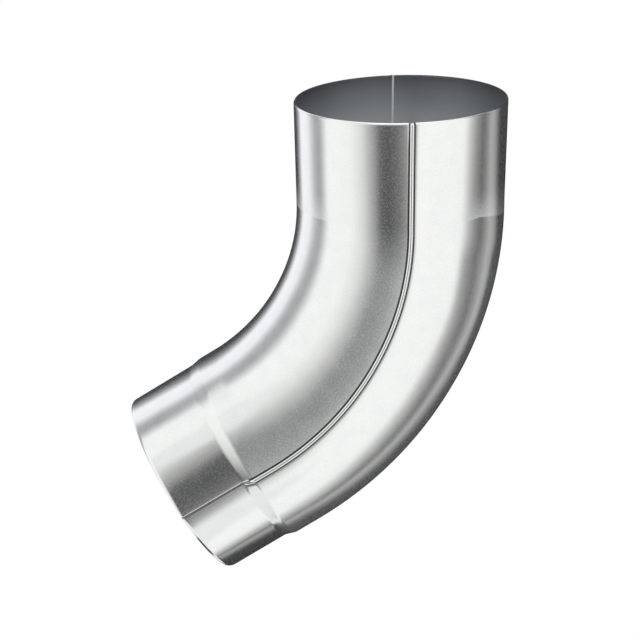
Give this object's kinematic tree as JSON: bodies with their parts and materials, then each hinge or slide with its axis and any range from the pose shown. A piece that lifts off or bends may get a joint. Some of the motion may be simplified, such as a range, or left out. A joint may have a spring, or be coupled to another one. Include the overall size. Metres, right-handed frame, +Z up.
{
  "type": "downspout elbow",
  "caption": "Round galvanised sheet-steel downspout elbow: a socket, a 60 degree bend and a reduced spigot, pressed as two half shells with a folded lock seam along each flank.",
  "frame": {"origin": "centre of the socket's mouth, level with its rim", "axes": "+Z up out of the socket along the pipe it hangs from; the bend turns towards -X; Y = 0 is the plane of symmetry, with one lock seam on each side of it"},
  "size_m": [0.1892, 0.1068, 0.2357],
  "materials": {
    "galvanised_sheet": "satin galvanised sheet"
  },
  "bodies": {
    "root": {"throat_half_shell": "galvanised_sheet", "heel_half_shell": "galvanised_sheet"}
  },
  "joints": []
}
